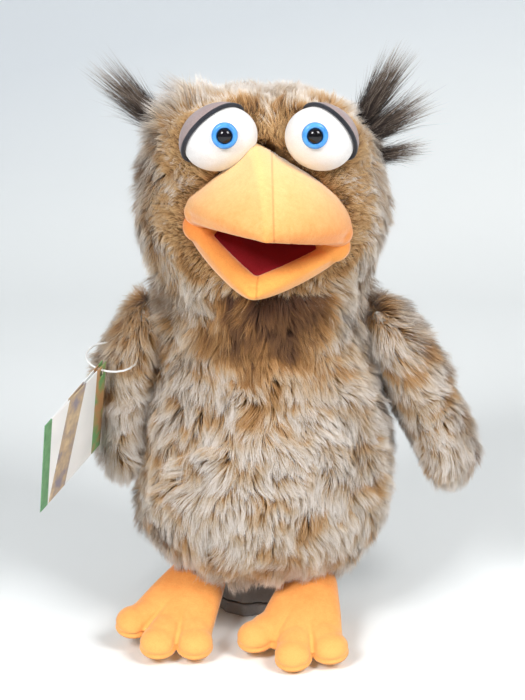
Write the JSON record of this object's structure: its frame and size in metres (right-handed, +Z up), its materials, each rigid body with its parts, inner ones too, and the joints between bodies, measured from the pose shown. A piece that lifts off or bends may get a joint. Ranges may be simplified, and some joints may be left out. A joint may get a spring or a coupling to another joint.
{
  "type": "owl hand puppet",
  "caption": "Plush owl hand puppet with a hand-worked beak, stuffed wings and feet, an open sleeve below and a swing tag.",
  "frame": {"origin": "on the surface that it stands on, at the middle of its overall footprint", "axes": "+Z up; the owl faces -Y, so its own left side is +X"},
  "size_m": [0.2828, 0.2118, 0.3986],
  "materials": {
    "plush": "long-pile plush, beige tips over brown roots",
    "filling": "loose polyester fibre",
    "lining": "dark brown woven lining",
    "beak_velour": "short-nap velour",
    "foot_velour": "short-nap velour",
    "mouth_board": "stiffening board",
    "mouth_felt": "dark red felt",
    "eye_felt": "white felt",
    "lid_felt": "mauve-grey felt",
    "lash_felt": "near-black felt",
    "iris_plastic": "moulded, glossy",
    "pupil_plastic": "moulded, glossy dome",
    "washer_plastic": "moulded",
    "long_hair": "long straight hair pile",
    "loop_thread": "thin thread",
    "tag_card": "coated card"
  },
  "bodies": {
    "torso": {"torso_skin": "plush", "belly_stuffing": "filling", "sleeve_lining": "lining", "hem_band": "lining"},
    "neck_lower": {"neck_lining": "lining"},
    "neck_upper": {"neck_skin": "plush"},
    "head": {"head_skin": "plush", "head_stuffing": "filling", "head_lining": "lining", "upper_beak": "beak_velour", "upper_mouth_board": "mouth_board", "upper_mouth_felt": "mouth_felt", "mouth_fold": "mouth_felt", "eyeball_right": "eye_felt", "eyelid_right": "lid_felt", "lash_line_right": "lash_felt", "iris_right": "iris_plastic", "pupil_right": "pupil_plastic", "eye_washer_right": "washer_plastic", "eyeball_left": "eye_felt", "eyelid_left": "lid_felt", "lash_line_left": "lash_felt", "iris_left": "iris_plastic", "pupil_left": "pupil_plastic", "eye_washer_left": "washer_plastic", "ear_tuft_right": "long_hair", "ear_tuft_left_upper": "long_hair", "ear_tuft_left_middle": "long_hair", "ear_tuft_left_lower": "long_hair"},
    "jaw": {"lower_beak": "beak_velour", "lower_mouth_board": "mouth_board", "lower_mouth_felt": "mouth_felt"},
    "wing_right": {"wing_skin_right": "plush", "wing_stuffing_right": "filling", "tag_loop": "loop_thread"},
    "wing_left": {"wing_skin_left": "plush", "wing_stuffing_left": "filling"},
    "foot_right": {"foot_upper_right": "foot_velour", "foot_sole_right": "foot_velour", "foot_stuffing_right": "filling"},
    "foot_left": {"foot_upper_left": "foot_velour", "foot_sole_left": "foot_velour", "foot_stuffing_left": "filling"},
    "tag": {"tag_card": "tag_card"}
  },
  "joints": [
    {"name": "neck_turn", "type": "hinge", "parent": "torso", "child": "neck_lower", "pos_m": [0.00059, 0.03079, 0.231], "axis": [0, 0, 1], "range_deg": [-40, 40]},
    {"name": "neck_tilt", "type": "hinge", "parent": "neck_lower", "child": "neck_upper", "pos_m": [0.00059, 0.03079, 0.231], "axis": [0, 1, 0], "range_deg": [-10, 10]},
    {"name": "neck_nod", "type": "hinge", "parent": "neck_upper", "child": "head", "pos_m": [0.00059, 0.03079, 0.231], "axis": [1, 0, 0], "range_deg": [-14, 7]},
    {"name": "beak_open", "type": "hinge", "parent": "head", "child": "jaw", "pos_m": [0.00359, -0.03121, 0.284], "axis": [0.9897, -0.0346, -0.1392], "range_deg": [-30, 18]},
    {"name": "wing_right_lift", "type": "hinge", "parent": "torso", "child": "wing_right", "pos_m": [-0.07951, 0.03079, 0.212], "axis": [0, 1, 0], "range_deg": [0, 75]},
    {"name": "wing_left_lift", "type": "hinge", "parent": "torso", "child": "wing_left", "pos_m": [0.08069, 0.03079, 0.212], "axis": [0, -1, 0], "range_deg": [-18, 55]},
    {"name": "foot_right_nod", "type": "hinge", "parent": "torso", "child": "foot_right", "pos_m": [-0.04141, 0.00179, 0.043], "axis": [0.9272, -0.3746, 0], "range_deg": [-15, 20]},
    {"name": "foot_left_nod", "type": "hinge", "parent": "torso", "child": "foot_left", "pos_m": [0.03359, -0.00521, 0.04], "axis": [0.9781, -0.2079, 0], "range_deg": [-15, 20]},
    {"name": "tag_swing", "type": "hinge", "parent": "wing_right", "child": "tag", "pos_m": [-0.10601, -0.01433, 0.18753], "axis": [-0.6292, -0.7773, 0], "range_deg": [-20, 20]}
  ]
}
